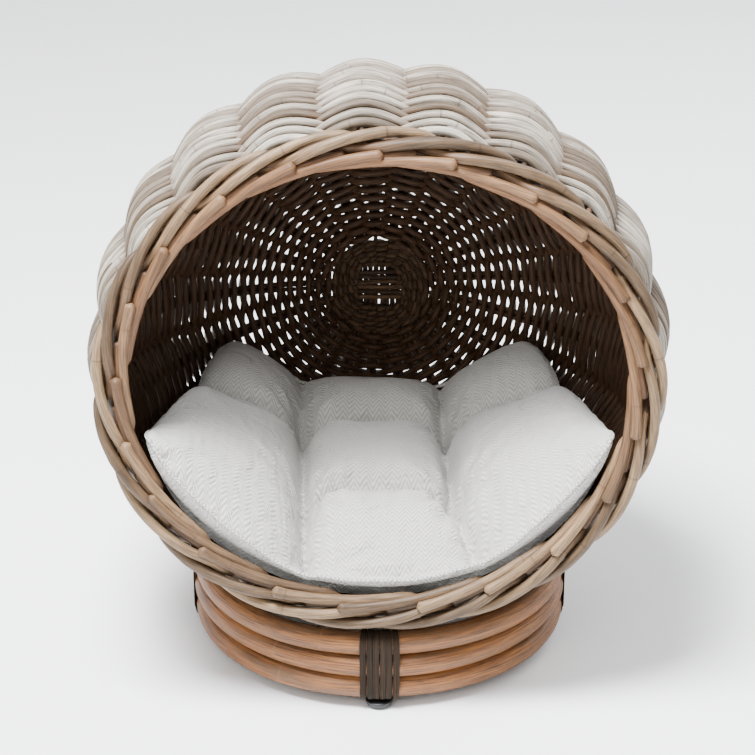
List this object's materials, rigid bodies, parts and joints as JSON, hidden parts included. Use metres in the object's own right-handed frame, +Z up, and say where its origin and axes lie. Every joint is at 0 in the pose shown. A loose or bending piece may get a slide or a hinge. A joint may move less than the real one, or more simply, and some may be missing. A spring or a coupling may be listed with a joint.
{
  "type": "wicker pet bed basket",
  "caption": "Round woven cave for a small pet, lying on a ring of bent rattan poles, with a rolled rim round its mouth and a loose tufted cushion inside.",
  "frame": {"origin": "on the floor, under the middle of the whole object", "axes": "+Z up, +X to the right when facing the mouth from the front, the mouth faces -Y"},
  "size_m": [0.4944, 0.3905, 0.509],
  "materials": {
    "rattan_pole": "sanded bent rattan pole, satin",
    "cane_binding": "flat cane, matt",
    "wicker_skin": "round wicker rod, grey washed, matt",
    "wicker_stake": "round wicker rod, unwashed, matt",
    "wicker_border": "round wicker rod, grey washed, satin",
    "glide_plastic": "moulded black plastic",
    "nail_steel": "drawn wire nail",
    "cushion_cotton": "herringbone cotton",
    "cushion_fibre": "loose fibre filling",
    "tuft_thread": "waxed cotton thread"
  },
  "bodies": {
    "basket": {"pole_lower": "rattan_pole", "pole_middle": "rattan_pole", "pole_upper": "rattan_pole", "binding_front": "cane_binding", "binding_right": "cane_binding", "binding_back": "cane_binding", "binding_left": "cane_binding", "glide_front": "glide_plastic", "glide_right": "glide_plastic", "glide_back": "glide_plastic", "glide_left": "glide_plastic", "glide_nails": "nail_steel", "slath_across": "wicker_stake", "slath_upright": "wicker_stake", "slath_pairing": "wicker_stake", "stake_01": "wicker_stake", "stake_02": "wicker_stake", "stake_03": "wicker_stake", "stake_04": "wicker_stake", "stake_05": "wicker_stake", "stake_06": "wicker_stake", "stake_07": "wicker_stake", "stake_08": "wicker_stake", "stake_09": "wicker_stake", "stake_10": "wicker_stake", "stake_11": "wicker_stake", "stake_12": "wicker_stake", "stake_13": "wicker_stake", "stake_14": "wicker_stake", "stake_15": "wicker_stake", "stake_16": "wicker_stake", "stake_17": "wicker_stake", "stake_18": "wicker_stake", "stake_19": "wicker_stake", "stake_20": "wicker_stake", "stake_21": "wicker_stake", "weave_band_1": "wicker_skin", "weave_band_2": "wicker_skin", "weave_band_3": "wicker_skin", "weave_band_4": "wicker_skin", "weave_band_5": "wicker_skin", "weave_band_6": "wicker_skin", "weave_band_7": "wicker_skin", "border": "wicker_border"},
    "cushion": {"cushion_cover": "cushion_cotton", "cushion_fill": "cushion_fibre", "cushion_ties": "tuft_thread"}
  },
  "joints": [
    {"name": "cushion_lift_out", "type": "slide", "parent": "basket", "child": "cushion", "axis": [0, -0.7547, 0.6561], "range_m": [0, 0.42]}
  ]
}
